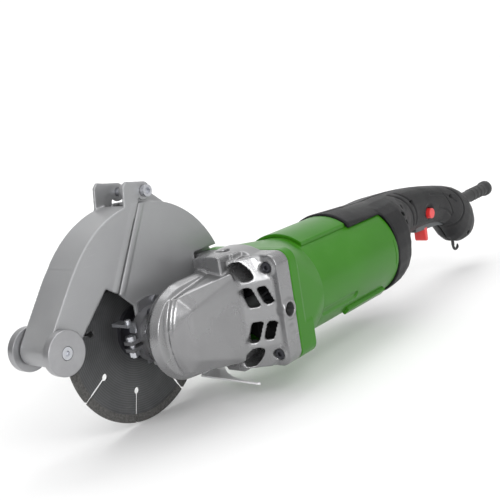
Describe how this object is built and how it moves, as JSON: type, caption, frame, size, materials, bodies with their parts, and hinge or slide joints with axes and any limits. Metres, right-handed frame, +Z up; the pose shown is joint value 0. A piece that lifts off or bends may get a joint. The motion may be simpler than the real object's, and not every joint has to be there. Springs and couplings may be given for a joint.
{
  "type": "wall chaser",
  "caption": "Hand-held mains wall chaser with one diamond blade in a hinged, roller-guided guard, an angle gear head, a motor barrel and a rear grip with trigger.",
  "frame": {"origin": "centre of the blade, on the spindle axis, in the middle of the blade core's thickness", "axes": "+X back along the motor towards the handle, +Y along the spindle away from the gear head, +Z up"},
  "size_m": [0.6909, 0.1501, 0.2063],
  "materials": {
    "guard_metal": "satin sprayed silver",
    "head_alloy": "bead-blasted die casting",
    "zinc_steel": "zinc plated",
    "ground_steel": "ground",
    "black_oxide": "black oxide",
    "blade_core": "dark grey blade steel",
    "diamond_segment": "sintered, matt",
    "green_plastic": "semi-gloss moulded",
    "charcoal_plastic": "fine texture",
    "black_plastic": "moulded",
    "red_plastic": "smooth moulded",
    "rubber_black": "matt",
    "lamination": "stacked sheet steel",
    "copper_wire": "enamelled winding",
    "copper_bar": "turned",
    "brass_holder": "pressed",
    "carbon": "matt carbon",
    "spring_steel": "drawn wire",
    "capacitor_film": "film case"
  },
  "bodies": {
    "tool": {"shroud_rear": "guard_metal", "hinge_bolt": "zinc_steel", "guard_nuts": "zinc_steel", "clamp_band": "zinc_steel", "clamp_bolt": "zinc_steel", "guard_bracket": "zinc_steel", "guard_screws": "zinc_steel", "skid_plate": "zinc_steel", "dust_port": "charcoal_plastic", "spindle_bearing_lower": "ground_steel", "spindle_bearing_upper": "ground_steel", "bearing_cover": "head_alloy", "cover_screws": "black_oxide", "gear_housing": "head_alloy", "head_screws": "black_oxide", "front_bearing": "ground_steel", "air_baffle": "black_plastic", "motor_housing": "green_plastic", "top_plate": "green_plastic", "stator_core": "lamination", "stator_windings": "copper_wire", "rear_bearing": "ground_steel", "bearing_sleeve": "rubber_black", "brush_holders": "brass_holder", "carbon_brushes": "carbon", "brush_springs": "spring_steel", "handle_shell_near": "charcoal_plastic", "handle_shell_far": "charcoal_plastic", "handle_screws": "black_oxide", "trigger_pin": "ground_steel", "trigger_spring": "spring_steel", "switch_body": "black_plastic", "lock_button_spring": "spring_steel", "suppressor": "capacitor_film", "cord_sleeve": "rubber_black", "cord_clamp": "black_plastic", "hook": "black_plastic"},
    "guard_front": {"shroud_front": "guard_metal", "axle_bolt": "zinc_steel", "axle_nut": "zinc_steel", "axle_spacer": "zinc_steel"},
    "roller_near": {"roller_near": "guard_metal"},
    "roller_far": {"roller_far": "guard_metal"},
    "spindle": {"blade": "blade_core", "blade_segments": "diamond_segment", "inner_flange": "black_oxide", "flange_nut": "black_oxide", "spindle": "ground_steel", "crown_gear": "ground_steel"},
    "armature": {"armature_shaft": "ground_steel", "armature_core": "lamination", "armature_windings": "copper_wire", "commutator": "copper_bar", "cooling_fan": "black_plastic", "pinion_gear": "ground_steel"},
    "trigger": {"trigger": "red_plastic"},
    "switch_plunger": {"switch_plunger": "black_plastic"},
    "lock_button": {"lock_button": "red_plastic"}
  },
  "joints": [
    {"name": "guard_hinge", "type": "hinge", "parent": "tool", "child": "guard_front", "pos_m": [0.0202, 0, 0.1162], "axis": [0, 1, 0], "range_deg": [0, 80]},
    {"name": "roller_near_spin", "type": "hinge", "parent": "guard_front", "child": "roller_near", "pos_m": [-0.095, -0.0228, 0.0156], "axis": [0, 1, 0], "continuous": true},
    {"name": "roller_far_spin", "type": "hinge", "parent": "guard_front", "child": "roller_far", "pos_m": [-0.095, 0.0204, 0.0156], "axis": [0, 1, 0], "continuous": true},
    {"name": "spindle_spin", "type": "hinge", "parent": "tool", "child": "spindle", "pos_m": [0, 0, 0], "axis": [0, 1, 0], "continuous": true},
    {"name": "armature_spin", "type": "hinge", "parent": "tool", "child": "armature", "pos_m": [0.15, -0.0576, 0], "axis": [1, 0, 0], "continuous": true},
    {"name": "trigger_press", "type": "hinge", "parent": "tool", "child": "trigger", "pos_m": [0.446, -0.0576, -0.008], "axis": [0, 1, 0], "range_deg": [0, 5], "stiffness_Nm_per_rad": 3, "springref_deg": -5.16, "deforming": ["trigger_spring"]},
    {"name": "switch_plunger_slide", "type": "slide", "parent": "tool", "child": "switch_plunger", "axis": [0, 0, 1], "range_m": [0, 0.003]},
    {"name": "lock_button_press", "type": "slide", "parent": "tool", "child": "lock_button", "axis": [0, 1, 0], "range_m": [0, 0.003], "stiffness_N_per_m": 300, "springref_m": -0.003, "deforming": ["lock_button_spring"]}
  ],
  "couplings": [
    {"joint": "armature_spin", "follows": "spindle_spin", "ratio": -2.6667},
    {"joint": "switch_plunger_slide", "follows": "trigger_press", "m_per_rad": 0.032}
  ]
}
